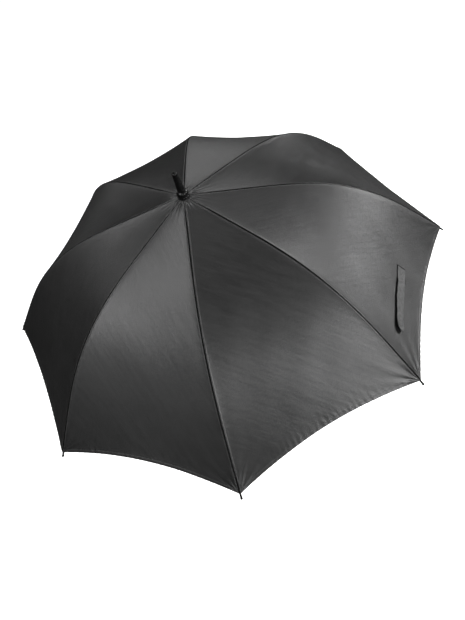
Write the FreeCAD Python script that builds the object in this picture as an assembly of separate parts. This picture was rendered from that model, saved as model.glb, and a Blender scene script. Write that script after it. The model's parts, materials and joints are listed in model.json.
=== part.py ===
"""A golf umbrella with eight ribs, modelled open, its shaft upright.

+Z runs up the shaft to the ferrule. The origin is on the shaft's axis, in the middle of the hand grip.
Lengths are in millimetres and angles in degrees. Every rib, stretcher and panel is built at azimuth 0,
in the X-Z plane, and turned about Z to its place.
"""
import math
import os

import FreeCAD, Part

# Driving sizes of the canopy and its ribs
RIB_COUNT = 8
RIB_LENGTH = 750.0          # from the crown's pivot to the tip, along the curve
CROWN_HEIGHT = 870.0        # of the ribs' pivots above the middle of the grip
PIVOT_RADIUS = 11.0         # of the wire rings that the ribs and the stretchers turn on
SLOPE_AT_CROWN = 10.5       # of the rib below the horizontal
SLOPE_AT_RIM = 49.2
BEND_START = 0.231          # share of the rib where it begins to bend
BEND_END = 0.855
STATIONS = (0.0, 150.0, 220.0, 290.0, 360.0, 430.0, 500.0, 570.0, 640.0, RIB_LENGTH)
ROD_RADIUS = 1.6

# The pivots part-way along each rib
STRETCHER_STATION = 360.0
STRETCHER_DROP = 7.0        # of the stretcher's pivot below the rib's centre line
FLEX_STATION = 368.0
RIVET_RADIUS = 1.0
RUNNING_GAP = 0.05
EYE_HALF_WIDTH = 1.7
EAR_INSIDE = 1.85
EAR_OUTSIDE = 2.9

# The wire rings and the slotted rims that hold them
WIRE_RADIUS = 0.5
EYE_HOLE_RADIUS = 0.75
EYE_RADIUS = 2.2
RIM_RADIUS = 14.5
SLOT_HALF_WIDTH = 1.9
SLOT_ROOT_RADIUS = 8.6

# The canopy
CLOTH_LIFT = 3.4            # of the cloth's inner face above the rib's centre line
CLOTH_THICKNESS = 0.6
CLOTH_START = -3.0          # station of the cloth's edge round the shaft
CLOTH_END = 737.0           # station of the cloth's corners, just short of the rib tips
RIM_SCALLOP = 30.0          # how far the rim is drawn in between two ribs
PANEL_SAG = 9.0             # how far a panel is drawn in below the straight line between two ribs
SEAM_GAP = 0.2              # from each seam's plane to the panel's edge

# The tie strap, sewn to one panel
STRAP_PANEL = 5             # counted from the panel that starts at azimuth 0
STRAP_SEWN_END = (0.543, 616.0)     # share of the way across the panel, and station
STRAP_FREE_END = (0.129, 638.0)
STRAP_WIDTH = 27.0
STRAP_THICKNESS = 1.2

# Shaft, ferrule, runner, catches and handle
SHAFT_RADIUS = 7.0
SHAFT_WALL = 0.8
SHAFT_BOTTOM = -70.0
SHAFT_TOP = CROWN_HEIGHT + 40.0
CROWN_TOP = CROWN_HEIGHT + 1.4
SPIKE_BOTTOM = CROWN_HEIGHT + 22.0
SPIKE_TOP = CROWN_HEIGHT + 77.0
SPIKE_BASE_RADIUS = 10.2
SPIKE_TIP_RADIUS = 6.5
COLLAR_RADIUS = 16.5
RUNNER_GAP = 0.1
RUNNER_SLEEVE_RADIUS = 9.5
RUNNER_DROP = 55.0          # of the runner's lower edge below its pivots
RUNNER_RIM_HALF = 4.5
FOLD_ANGLE = 74.0           # that each rib turns through to close
CATCH_AZIMUTH = 22.5
CATCH_REACH = 3.2           # beyond the shaft's surface
CATCH_HALF_WIDTH = 1.0
GRIP_RADIUS = 16.0
GRIP_HALF_LENGTH = 85.0
CORE_RADIUS = 10.0
CAP_DEPTH = 12.0

UP = FreeCAD.Vector(0, 0, 1)
ACROSS = FreeCAD.Vector(0, 1, 0)
ORIGIN = FreeCAD.Vector(0, 0, 0)
SECTOR = 360.0 / RIB_COUNT


# ---------------------------------------------------------------- the rib's curve

def smooth_slope(station):
    """Slope of the ideal rib: level near the crown, bent over the middle, straight at the rim."""
    share = (station / RIB_LENGTH - BEND_START) / (BEND_END - BEND_START)
    share = min(max(share, 0.0), 1.0)
    return SLOPE_AT_CROWN + (SLOPE_AT_RIM - SLOPE_AT_CROWN) * share * share * (3 - 2 * share)


def follow_arc(point, start_slope, end_slope, length):
    """The (radius, height) at the end of an arc that turns evenly from one slope to another."""
    half_turn = math.radians(end_slope - start_slope) / 2
    chord = length * (math.sin(half_turn) / half_turn if abs(half_turn) > 1e-9 else 1.0)
    heading = math.radians(start_slope + end_slope) / 2
    return point[0] + chord * math.cos(heading), point[1] - chord * math.sin(heading)


def station_points():
    """The (radius, height) of the rib's centre line at each station."""
    points = [(PIVOT_RADIUS, CROWN_HEIGHT)]
    for start, end in zip(STATIONS, STATIONS[1:]):
        points.append(follow_arc(points[-1], smooth_slope(start), smooth_slope(end), end - start))
    return points


STATION_POINTS = station_points()


def slope_at(station):
    """Slope of the rib's centre line, which is a chain of arcs between the stations."""
    if station <= 0:
        return smooth_slope(0)
    for start, end in zip(STATIONS, STATIONS[1:]):
        if station <= end:
            share = (station - start) / (end - start)
            return smooth_slope(start) + share * (smooth_slope(end) - smooth_slope(start))
    return smooth_slope(RIB_LENGTH)


def rib_point(station, lift=0.0):
    """The (radius, height) at a station, lifted outwards from the centre line."""
    index = max(i for i, s in enumerate(STATIONS) if s <= max(station, 0.0))
    index = min(index, len(STATIONS) - 2)
    slope = slope_at(station)
    start = STATIONS[index]
    radius, height = follow_arc(STATION_POINTS[index], smooth_slope(start), slope, station - start)
    angle = math.radians(slope)
    return radius + lift * math.sin(angle), height + lift * math.cos(angle)


def in_rib_plane(point, side=0.0):
    """A (radius, height) pair as a vector at azimuth 0."""
    return FreeCAD.Vector(point[0], side, point[1])


STRETCHER_PIVOT = rib_point(STRETCHER_STATION, -STRETCHER_DROP)
FLEX_PIVOT = rib_point(FLEX_STATION)
STRETCHER_LENGTH = math.hypot(STRETCHER_PIVOT[0] - PIVOT_RADIUS, CROWN_HEIGHT - STRETCHER_PIVOT[1])
OPEN_ANGLE = math.degrees(math.asin((CROWN_HEIGHT - STRETCHER_PIVOT[1]) / STRETCHER_LENGTH))


def runner_height(fold):
    """Height of the runner's pivots when every rib has turned down by an angle.

    The stretcher is as long as the rib from crown to stretcher pivot, so the two make an isosceles
    triangle on the shaft and the runner moves straight along it.
    """
    return CROWN_HEIGHT - 2 * STRETCHER_LENGTH * math.sin(math.radians(OPEN_ANGLE + fold))


RUNNER_OPEN = runner_height(0)
RUNNER_CLOSED = runner_height(FOLD_ANGLE)
RUNNER_PIVOT = (PIVOT_RADIUS, RUNNER_OPEN)


# ---------------------------------------------------------------- small helpers

def rod_along_z(radius, bottom, top):
    """A solid cylinder on the shaft's axis."""
    return Part.makeCylinder(radius, top - bottom, FreeCAD.Vector(0, 0, bottom), UP)


def tube_along_z(outer, inner, bottom, top):
    """A tube on the shaft's axis."""
    return rod_along_z(outer, bottom, top).cut(rod_along_z(inner, bottom - 1, top + 1))


def revolved(outline):
    """A solid turned about Z from a closed outline of (radius, height) pairs."""
    corners = [in_rib_plane(point) for point in outline]
    face = Part.Face(Part.makePolygon(corners + corners[:1]))
    return face.revolve(ORIGIN, UP, 360)


def cross_cylinder(point, radius, half_width):
    """A cylinder across the rib's plane, such as a rivet, an eye or an eye's hole."""
    return Part.makeCylinder(radius, 2 * half_width, in_rib_plane(point, -half_width), ACROSS)


def slanted_box(corner_low, corner_high, point, slope):
    """A box given along, across and above a line that slopes down from a point in the rib's plane."""
    low, high = FreeCAD.Vector(*corner_low), FreeCAD.Vector(*corner_high)
    size = high - low
    box = Part.makeBox(size.x, size.y, size.z, low)
    box.rotate(ORIGIN, ACROSS, slope)
    box.translate(in_rib_plane(point))
    return box


def turned(shape, azimuth):
    """A copy of a shape, turned about Z."""
    copy = shape.copy()
    copy.rotate(ORIGIN, UP, azimuth)
    return copy


def fused(first, *others):
    """One solid from shapes that overlap."""
    return first.fuse(list(others)).removeSplitter()


def rib_rod(start, end):
    """The round rod of a rib between two stations."""
    stops = [start] + [s for s in STATIONS if start < s < end] + [end]
    path = []
    for first, last in zip(stops, stops[1:]):
        ends = in_rib_plane(rib_point(first)), in_rib_plane(rib_point(last))
        if abs(slope_at(first) - slope_at(last)) < 1e-6:
            path.append(Part.LineSegment(*ends).toShape())
        else:
            middle = in_rib_plane(rib_point((first + last) / 2))
            path.append(Part.Arc(ends[0], middle, ends[1]).toShape())
    angle = math.radians(slope_at(start))
    heading = FreeCAD.Vector(math.cos(angle), 0, -math.sin(angle))
    section = Part.Wire(Part.makeCircle(ROD_RADIUS, in_rib_plane(rib_point(start)), heading))
    return Part.Wire(path).makePipeShell([section], True, True)


# ---------------------------------------------------------------- ribs and stretchers

def inner_rib():
    """Fibreglass rod from the crown, ending in a riveted fork for the stretcher and the outer rib."""
    pivot = (PIVOT_RADIUS, CROWN_HEIGHT)
    rod = rib_rod(1.2, STRETCHER_STATION - 10)
    eye = cross_cylinder(pivot, EYE_RADIUS, EYE_HALF_WIDTH)
    at, slope = rib_point(STRETCHER_STATION), slope_at(STRETCHER_STATION)
    socket = slanted_box((-18, -EAR_OUTSIDE, -2.6), (-8, EAR_OUTSIDE, 2.0), at, slope)
    ears = [
        slanted_box((-9, min(a, b), -10.5), (11, max(a, b), 2.0), at, slope)
        for a, b in ((EAR_INSIDE, EAR_OUTSIDE), (-EAR_INSIDE, -EAR_OUTSIDE))
    ]
    rivets = [
        cross_cylinder(point, RIVET_RADIUS, EAR_OUTSIDE + 0.4)
        for point in (STRETCHER_PIVOT, FLEX_PIVOT)
    ]
    rib = fused(rod, eye, socket, *ears, *rivets)
    return rib.cut(cross_cylinder(pivot, EYE_HOLE_RADIUS, 5))


def outer_rib():
    """Fibreglass rod from the fork to the tip, with a flat eye on the fork's outer rivet."""
    rod = rib_rod(FLEX_STATION + 1.4, RIB_LENGTH - 3)
    eye = cross_cylinder(FLEX_PIVOT, 2.6, EYE_HALF_WIDTH)
    rib = fused(rod, eye)
    return rib.cut(cross_cylinder(FLEX_PIVOT, RIVET_RADIUS + RUNNING_GAP, 5))


def rib_tip():
    """Moulded sleeve and ball on the rib's end, which the canopy's corner is sewn to."""
    sleeve, ball, length, depth = 2.5, 3.2, 22.0, 3.0
    neck = -math.sqrt(ball ** 2 - sleeve ** 2)
    corners = [(0.0, ball), (0.0, -depth), (ROD_RADIUS, -depth), (ROD_RADIUS, -length), (sleeve, -length),
               (sleeve, neck)]
    points = [in_rib_plane(corner) for corner in corners]
    edges = [Part.LineSegment(a, b).toShape() for a, b in zip(points, points[1:])]
    edges.append(Part.Arc(points[-1], in_rib_plane((ball, 0.0)), points[0]).toShape())
    tip = Part.Face(Part.Wire(edges)).revolve(ORIGIN, UP, 360)
    tip.rotate(ORIGIN, ACROSS, 90 + slope_at(RIB_LENGTH))
    tip.translate(in_rib_plane(rib_point(RIB_LENGTH)))
    return tip


def stretcher():
    """Pressed steel channel from the fork's inner rivet down to the runner."""
    length = STRETCHER_LENGTH
    drop = 180 - OPEN_ANGLE
    bar = slanted_box((0, -1.6, -1.6), (length, 1.6, 1.6), STRETCHER_PIVOT, drop)
    flute = slanted_box((12, -1.0, -2.0), (length - 12, 1.0, 0.8), STRETCHER_PIVOT, drop)
    outer_eye = cross_cylinder(STRETCHER_PIVOT, 2.6, EYE_HALF_WIDTH)
    lower_eye = cross_cylinder(RUNNER_PIVOT, EYE_RADIUS, EYE_HALF_WIDTH)
    arm = fused(bar, outer_eye, lower_eye).cut(flute)
    arm = arm.cut(cross_cylinder(STRETCHER_PIVOT, RIVET_RADIUS + RUNNING_GAP, 5))
    return arm.cut(cross_cylinder(RUNNER_PIVOT, EYE_HOLE_RADIUS, 5))


# ---------------------------------------------------------------- canopy

def panel_point(station, share, lift):
    """A point of a panel between azimuth 0 and one sector, at a share of the way across it."""
    radius, height = rib_point(station, CLOTH_LIFT + lift)
    edge = math.degrees(SEAM_GAP / radius)
    ends = []
    for azimuth in (edge, SECTOR - edge):
        angle = math.radians(azimuth)
        ends.append(FreeCAD.Vector(radius * math.cos(angle), radius * math.sin(angle), height))
    point = ends[0] * (1 - share) + ends[1] * share
    bow = 4 * share * (1 - share)
    along = min(max(station / CLOTH_END, 0.0), 1.0)
    sag = PANEL_SAG * bow * math.sin(math.pi * along ** 1.3)
    slope, middle = math.radians(slope_at(station)), math.radians(SECTOR / 2)
    inwards = FreeCAD.Vector(
        -math.sin(slope) * math.cos(middle), -math.sin(slope) * math.sin(middle), -math.cos(slope)
    )
    return point + inwards * sag


def panel_station(along, share):
    """The station a share of the way from the shaft to the scalloped rim."""
    rim = CLOTH_END - RIM_SCALLOP * 4 * share * (1 - share)
    return CLOTH_START + (rim - CLOTH_START) * along


def sheet(rows, columns, place, lower, upper):
    """A closed solid between two liftings of a curved sheet, which place(row, column, lift) gives."""
    faces = []
    for lift in (lower, upper):
        grid = [[place(row, column, lift) for column in columns] for row in rows]
        surface = Part.BSplineSurface()
        surface.interpolate(grid)
        faces.append(surface.toShape())
    edges = [face.Edges for face in faces]
    sides = [Part.makeRuledSurface(low, high) for low, high in zip(*edges)]
    shell = Part.makeShell(faces + sides)
    shell.sewShape()
    solid = Part.makeSolid(Part.makeShell(shell.Faces))
    return solid if solid.Volume > 0 else solid.reversed()


def canopy_panel():
    """One cloth gore between two ribs, with its scalloped rim."""
    rows = [0.0, 0.1, 0.2, 0.32, 0.44, 0.54, 0.64, 0.74, 0.86, 1.0]
    columns = [0.0, 0.15, 0.35, 0.5, 0.65, 0.85, 1.0]

    def place(along, share, lift):
        return panel_point(panel_station(along, share), share, lift)

    return sheet(rows, columns, place, 0.0, CLOTH_THICKNESS)


def tie_strap():
    """Cloth band sewn flat to the outside of one panel, nearly parallel to its rim."""
    lower = CLOTH_THICKNESS + 0.3

    def place(aside, along, lift):
        share, station = (
            sewn + along * (free - sewn) for sewn, free in zip(STRAP_SEWN_END, STRAP_FREE_END)
        )
        return panel_point(station + STRAP_WIDTH * aside, share, lower + lift)

    rows = [-0.5, -0.2, 0.2, 0.5]
    columns = [0.0, 0.2, 0.4, 0.6, 0.8, 1.0]
    return turned(sheet(rows, columns, place, 0.0, STRAP_THICKNESS), STRAP_PANEL * SECTOR)


# ---------------------------------------------------------------- shaft, crown and ferrule

def shaft_tube():
    """Steel tube with a slot for each catch and cross holes for the runner's stop pin."""
    tube = tube_along_z(SHAFT_RADIUS, SHAFT_RADIUS - SHAFT_WALL, SHAFT_BOTTOM, SHAFT_TOP)
    slot_depth = 13.0
    for bottom in (top_catch_shoulder() - 12.5, bottom_catch_shoulder() - 0.5):
        width = CATCH_HALF_WIDTH + 0.15
        low = FreeCAD.Vector(SHAFT_RADIUS - 3, -width, bottom)
        slot = Part.makeBox(6, 2 * width, slot_depth, low)
        tube = tube.cut(turned(slot, CATCH_AZIMUTH))
    return tube.cut(stop_pin(RIVET_RADIUS + 0.27))


def stop_pin(radius=RIVET_RADIUS + 0.25):
    """Pin through the shaft, just above the open runner."""
    height = RUNNER_OPEN + RUNNER_RIM_HALF + 2.5
    half_length = SHAFT_RADIUS + 2.0
    pin = Part.makeCylinder(
        radius, 2 * half_length, FreeCAD.Vector(-half_length, 0, height), FreeCAD.Vector(1, 0, 0)
    )
    return turned(pin, CATCH_AZIMUTH + 90)


def slotted_rim(height, bottom, top):
    """A disc with a radial slot for each rib and a round channel for its wire ring."""
    rim = rod_along_z(RIM_RADIUS, bottom, top)
    for index in range(RIB_COUNT):
        low = FreeCAD.Vector(SLOT_ROOT_RADIUS, -SLOT_HALF_WIDTH, bottom - 1)
        slot = Part.makeBox(RIM_RADIUS, 2 * SLOT_HALF_WIDTH, top - bottom + 2, low)
        rim = rim.cut(turned(slot, index * SECTOR))
    return rim.cut(wire_ring(height, WIRE_RADIUS + 0.02))


def wire_ring(height, radius=WIRE_RADIUS):
    """The wire that threads the eyes of all the ribs or stretchers."""
    return Part.makeTorus(PIVOT_RADIUS, radius, FreeCAD.Vector(0, 0, height), UP)


def crown():
    """Moulded crown at the top of the shaft, which the ribs hinge in."""
    rim = slotted_rim(CROWN_HEIGHT, CROWN_HEIGHT - 6, CROWN_TOP)
    neck = rod_along_z(SLOT_ROOT_RADIUS, CROWN_HEIGHT - 20, CROWN_HEIGHT - 5)
    bore = rod_along_z(SHAFT_RADIUS + 0.02, CROWN_HEIGHT - 30, CROWN_TOP + 10)
    return fused(rim, neck).cut(bore)


def ferrule_collar():
    """Rounded cap over the middle of the canopy, its underside sloped like the cloth."""
    bore = SHAFT_RADIUS + 0.05
    tilt = math.tan(math.radians(SLOPE_AT_CROWN))
    foot = CROWN_HEIGHT + CLOTH_LIFT + CLOTH_THICKNESS + 1.2
    outline = [
        (bore, foot),
        (COLLAR_RADIUS - 1, foot - (COLLAR_RADIUS - 1 - bore) * tilt),
        (COLLAR_RADIUS, foot - (COLLAR_RADIUS - 1 - bore) * tilt + 0.8),
        (COLLAR_RADIUS - 0.6, SPIKE_BOTTOM - 7.5),
        (COLLAR_RADIUS - 2.4, SPIKE_BOTTOM - 3.6),
        (COLLAR_RADIUS - 5.2, SPIKE_BOTTOM - 1.1),
        (SPIKE_BASE_RADIUS - 0.8, SPIKE_BOTTOM),
        (bore, SPIKE_BOTTOM),
    ]
    return revolved(outline)


def ferrule_spike():
    """Tapered plastic ferrule pushed over the top of the shaft."""
    outline = [
        (0.0, SPIKE_BOTTOM),
        (SPIKE_BASE_RADIUS, SPIKE_BOTTOM),
        (SPIKE_BASE_RADIUS, SPIKE_BOTTOM + 3),
        (SPIKE_TIP_RADIUS, SPIKE_TOP - 2.5),
        (SPIKE_TIP_RADIUS - 0.8, SPIKE_TOP - 0.7),
        (SPIKE_TIP_RADIUS - 2.6, SPIKE_TOP),
        (0.0, SPIKE_TOP),
    ]
    return revolved(outline).cut(rod_along_z(SHAFT_RADIUS + 0.02, SPIKE_BOTTOM - 1, SHAFT_TOP))


# ---------------------------------------------------------------- runner and catches

def runner():
    """Moulded slider on the shaft: slotted rim, sleeve, finger ring and a window for the lower catch."""
    bottom = RUNNER_OPEN - RUNNER_DROP
    rim = slotted_rim(RUNNER_OPEN, RUNNER_OPEN - RUNNER_RIM_HALF, RUNNER_OPEN + RUNNER_RIM_HALF)
    sleeve = rod_along_z(RUNNER_SLEEVE_RADIUS, bottom, RUNNER_OPEN - RUNNER_RIM_HALF + 1)
    finger_ring = rod_along_z(RUNNER_SLEEVE_RADIUS + 3, bottom, bottom + 4)
    bore = rod_along_z(SHAFT_RADIUS + RUNNER_GAP, bottom - 1, RUNNER_OPEN + 10)
    window_bottom = bottom + bottom_catch_shoulder() - (RUNNER_CLOSED - RUNNER_DROP) - 1
    low = FreeCAD.Vector(SHAFT_RADIUS - 2, -CATCH_HALF_WIDTH - 0.5, window_bottom)
    window = Part.makeBox(10, 2 * CATCH_HALF_WIDTH + 1, 14, low)
    body = fused(rim, sleeve, finger_ring).cut(bore)
    return body.cut(turned(window, CATCH_AZIMUTH))


def top_catch_shoulder():
    """Height of the flat top that carries the open runner."""
    return RUNNER_OPEN - RUNNER_DROP - 0.3


def bottom_catch_shoulder():
    """Height of the flat underside that keeps the closed runner down."""
    return RUNNER_CLOSED - RUNNER_DROP + 6.0


def catch(shoulder, ramp_direction):
    """Sprung catch blade: a flat shoulder, and a ramp that the runner presses in as it passes."""
    tip = SHAFT_RADIUS + CATCH_REACH
    outline = [(1.0, 0.0), (tip, 0.0), (tip, 2.5), (SHAFT_RADIUS + 0.1, 9.0), (1.0, 9.0)]
    corners = [in_rib_plane((r, shoulder + ramp_direction * z), -CATCH_HALF_WIDTH) for r, z in outline]
    face = Part.Face(Part.makePolygon(corners + corners[:1]))
    return turned(face.extrude(ACROSS * (2 * CATCH_HALF_WIDTH)), CATCH_AZIMUTH)


# ---------------------------------------------------------------- handle

def foam_grip():
    """Straight foam sleeve with eased ends."""
    ease = 1.5
    outline = [
        (CORE_RADIUS, -GRIP_HALF_LENGTH),
        (GRIP_RADIUS - ease, -GRIP_HALF_LENGTH),
        (GRIP_RADIUS, -GRIP_HALF_LENGTH + ease),
        (GRIP_RADIUS, GRIP_HALF_LENGTH - ease),
        (GRIP_RADIUS - ease, GRIP_HALF_LENGTH),
        (CORE_RADIUS, GRIP_HALF_LENGTH),
    ]
    return revolved(outline)


def grip_core():
    """Plastic tube between the shaft and the foam."""
    return tube_along_z(CORE_RADIUS, SHAFT_RADIUS + 0.02, -GRIP_HALF_LENGTH, GRIP_HALF_LENGTH)


def neck_collar():
    """Tapered collar at the top of the grip."""
    top = GRIP_HALF_LENGTH + CAP_DEPTH
    outline = [
        (SHAFT_RADIUS + 0.02, GRIP_HALF_LENGTH),
        (GRIP_RADIUS - 0.5, GRIP_HALF_LENGTH),
        (GRIP_RADIUS - 0.5, GRIP_HALF_LENGTH + 3),
        (GRIP_RADIUS - 3.0, top - 3),
        (SHAFT_RADIUS + 1.8, top),
        (SHAFT_RADIUS + 0.02, top),
    ]
    return revolved(outline)


def end_cap():
    """Rounded cap that plugs the grip's lower end, with a small flat underside."""
    bottom = -GRIP_HALF_LENGTH - CAP_DEPTH
    outline = [
        (0.0, bottom),
        (GRIP_RADIUS - 6.0, bottom),
        (GRIP_RADIUS - 2.2, bottom + 2.4),
        (GRIP_RADIUS - 0.6, bottom + 6.2),
        (GRIP_RADIUS - 0.5, -GRIP_HALF_LENGTH),
        (SHAFT_RADIUS - 0.1, -GRIP_HALF_LENGTH),
        (SHAFT_RADIUS - 0.1, SHAFT_BOTTOM - 1),
        (0.0, SHAFT_BOTTOM - 1),
    ]
    return revolved(outline)


# ---------------------------------------------------------------- the whole umbrella

def round_the_shaft(nodes, name, shape):
    """Add one copy of a shape per rib, numbered from azimuth 0 anticlockwise."""
    for index in range(RIB_COUNT):
        nodes[f"{name}_{index + 1}"] = turned(shape, index * SECTOR)


def umbrella():
    """Every piece of the umbrella by name."""
    nodes = {
        "shaft_tube": shaft_tube(),
        "runner_stop_pin": stop_pin(),
        "crown": crown(),
        "crown_wire_ring": wire_ring(CROWN_HEIGHT),
        "ferrule_collar": ferrule_collar(),
        "ferrule_spike": ferrule_spike(),
        "runner": runner(),
        "runner_wire_ring": wire_ring(RUNNER_OPEN),
        "top_catch": catch(top_catch_shoulder(), -1),
        "bottom_catch": catch(bottom_catch_shoulder(), 1),
        "grip_core": grip_core(),
        "foam_grip": foam_grip(),
        "neck_collar": neck_collar(),
        "end_cap": end_cap(),
        "tie_strap": tie_strap(),
    }
    round_the_shaft(nodes, "inner_rib", inner_rib())
    round_the_shaft(nodes, "outer_rib", outer_rib())
    round_the_shaft(nodes, "rib_tip", rib_tip())
    round_the_shaft(nodes, "stretcher", stretcher())
    round_the_shaft(nodes, "canopy_panel", canopy_panel())
    return nodes


os.makedirs("parts", exist_ok=True)
for node, shape in umbrella().items():
    if not shape.isValid() or len(shape.Solids) != 1:
        print("check this piece:", node, shape.isValid(), len(shape.Solids))
    shape.exportStep(f"parts/{node}.step")
print(f"open angle {OPEN_ANGLE:.3f}, stretcher length {STRETCHER_LENGTH:.3f}")
print(f"stretcher pivot {STRETCHER_PIVOT}, flex pivot {FLEX_PIVOT}")
print(f"runner pivots open at {RUNNER_OPEN:.3f}, closed at {RUNNER_CLOSED:.3f}")
print(f"rib tip {rib_point(RIB_LENGTH)}")
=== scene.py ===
"""Looks of the golf umbrella: cloth dome, seams, stitching, tie strap, frame, ferrule and handle.

Everything is in metres in the row frame: +Z up the shaft, origin in the middle of the grip, rib 1 along +X.
"""
import json
import math

import bpy
import numpy as np
from mathutils import Matrix, Vector


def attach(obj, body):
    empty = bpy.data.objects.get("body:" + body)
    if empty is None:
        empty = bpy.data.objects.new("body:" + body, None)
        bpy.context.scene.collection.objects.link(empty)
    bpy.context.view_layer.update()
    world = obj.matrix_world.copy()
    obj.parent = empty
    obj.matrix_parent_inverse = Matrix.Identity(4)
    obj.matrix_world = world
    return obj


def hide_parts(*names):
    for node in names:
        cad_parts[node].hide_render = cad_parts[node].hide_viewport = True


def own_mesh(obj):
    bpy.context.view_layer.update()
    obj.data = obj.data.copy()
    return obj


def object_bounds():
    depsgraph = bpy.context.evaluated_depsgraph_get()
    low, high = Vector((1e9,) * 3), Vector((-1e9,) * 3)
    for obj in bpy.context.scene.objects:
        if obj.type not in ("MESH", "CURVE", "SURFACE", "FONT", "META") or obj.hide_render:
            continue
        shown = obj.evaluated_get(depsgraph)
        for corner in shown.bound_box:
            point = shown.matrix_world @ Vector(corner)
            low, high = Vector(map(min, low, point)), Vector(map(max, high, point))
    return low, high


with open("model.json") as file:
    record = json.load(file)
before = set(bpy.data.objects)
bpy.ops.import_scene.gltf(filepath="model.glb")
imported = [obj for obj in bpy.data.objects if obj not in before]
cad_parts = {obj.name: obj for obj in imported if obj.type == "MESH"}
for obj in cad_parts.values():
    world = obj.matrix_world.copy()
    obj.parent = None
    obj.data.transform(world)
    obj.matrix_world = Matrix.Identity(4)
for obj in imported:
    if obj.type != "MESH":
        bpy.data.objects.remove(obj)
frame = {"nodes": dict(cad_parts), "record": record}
cad_low, cad_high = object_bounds()

# ---------------------------------------------------------------- sizes shared with the CAD model

RIBS = 8
SECTOR = 2 * math.pi / RIBS
RIB_LENGTH = 0.750
CROWN_HEIGHT = 0.870
PIVOT_RADIUS = 0.011
SLOPE_AT_CROWN = math.radians(10.5)
SLOPE_AT_RIM = math.radians(49.2)
BEND_START = 0.231
BEND_END = 0.855
STATIONS = np.array([0.0, 0.150, 0.220, 0.290, 0.360, 0.430, 0.500, 0.570, 0.640, RIB_LENGTH])
FLEX_STATION = 0.368
CLOTH_LIFT = 0.0040         # of the cloth's outer face above the rib's centre line
CLOTH_START = -0.003
CLOTH_END = 0.737
RIM_SCALLOP = 0.030
PANEL_SAG = 0.009
STRAP_PANEL = 5
STRAP_SEWN_END = (0.543, 0.616)     # share of the way across the panel, and station
STRAP_FREE_END = (0.129, 0.638)
STRAP_WIDTH = 0.027
STRAP_LENGTH = 0.190
STRAP_THICKNESS = 0.0016
GRIP_RADIUS = 0.016
GRIP_HALF_LENGTH = 0.085
CAP_DEPTH = 0.012
SHAFT_RADIUS = 0.007
COLLAR_RADIUS = 0.0165
SPIKE_BASE_RADIUS = 0.0102
SPIKE_TIP_RADIUS = 0.0065
SPIKE_BOTTOM = CROWN_HEIGHT + 0.022
SPIKE_TOP = CROWN_HEIGHT + 0.077

# Depths and spacings of the cloth's gathers, puckers, folds, seams and hem.
GATHER_DEPTH = 0.0008
GATHERS_PER_PANEL = 4.5
SEAM_PUCKER_DEPTH = 0.00022
SEAM_PUCKER_PITCH = 0.017
CORNER_FOLD_DEPTH = 0.0012
CORNER_FOLD_REACH = 0.055
HEM_PUCKER_DEPTH = 0.00035
HEM_PUCKER_PITCH = 0.015
RIM_WIDTH = 0.48            # of a panel between its seams, for spacing the hem's puckers
SLACK_DEPTH = 0.0003
SEAM_GROOVE_DEPTH = 0.0012
SEAM_FLAP_HEIGHT = 0.0003
HEM_THICKNESS = 0.0004
HEM_STITCH_DEPTH = 0.0004
YARN_PITCH = 0.00042
STITCH_PITCH = 0.0034
SEAM_STITCH = 0.0043        # from the seam to its top stitching
HEM_STITCH = 0.0085         # from the rim to the hem's stitching
SMALL_STEP = 1e-4           # for finding directions on the cloth


# ---------------------------------------------------------------- the rib's curve

def smooth_slope(station):
    """Slope of the ideal rib below the horizontal, in radians."""
    share = np.clip((station / RIB_LENGTH - BEND_START) / (BEND_END - BEND_START), 0, 1)
    return SLOPE_AT_CROWN + (SLOPE_AT_RIM - SLOPE_AT_CROWN) * share * share * (3 - 2 * share)


STATION_SLOPES = smooth_slope(STATIONS)


def follow_arc(start_slope, end_slope, length):
    """Radius gained and height lost along an arc that turns evenly between two slopes."""
    half_turn = (end_slope - start_slope) / 2
    chord = length * np.sinc(half_turn / math.pi)
    heading = (start_slope + end_slope) / 2
    return chord * np.cos(heading), chord * np.sin(heading)


STEPS = follow_arc(STATION_SLOPES[:-1], STATION_SLOPES[1:], np.diff(STATIONS))
STATION_RADII = PIVOT_RADIUS + np.concatenate([[0.0], np.cumsum(STEPS[0])])
STATION_HEIGHTS = CROWN_HEIGHT - np.concatenate([[0.0], np.cumsum(STEPS[1])])


def slope_at(station):
    """Slope of the rib's centre line, which is a chain of arcs between the stations."""
    return np.interp(station, STATIONS, STATION_SLOPES)


def rib_point(station, lift=0.0):
    """Radius and height at a station, lifted outwards from the centre line."""
    index = np.clip(np.searchsorted(STATIONS, station, side="right") - 1, 0, len(STATIONS) - 2)
    slope = slope_at(station)
    out, down = follow_arc(STATION_SLOPES[index], slope, station - STATIONS[index])
    radius = STATION_RADII[index] + out + lift * np.sin(slope)
    height = STATION_HEIGHTS[index] - down + lift * np.cos(slope)
    return radius, height


# ---------------------------------------------------------------- the cloth's shape

def bow(share):
    """0 at both seams of a panel and 1 in its middle."""
    return 4 * share * (1 - share)


def rim_station(share):
    """Station of the scalloped rim."""
    return CLOTH_END - RIM_SCALLOP * bow(share)


def seam_distance(station, share):
    """Distance across the panel to its nearer seam."""
    radius, _ = rib_point(station, CLOTH_LIFT)
    half_width = radius * math.sin(SECTOR / 2)
    return 2 * half_width * np.minimum(share, 1 - share)


def hub_gathers(panel, station, share):
    """Small pleats where the cloth is drawn together under the collar."""
    fade = np.exp(-np.maximum(station - 0.012, 0) / 0.022)
    return GATHER_DEPTH * fade * bow(share) * np.sin(2 * math.pi * GATHERS_PER_PANEL * share + 1.9 * panel)


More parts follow.
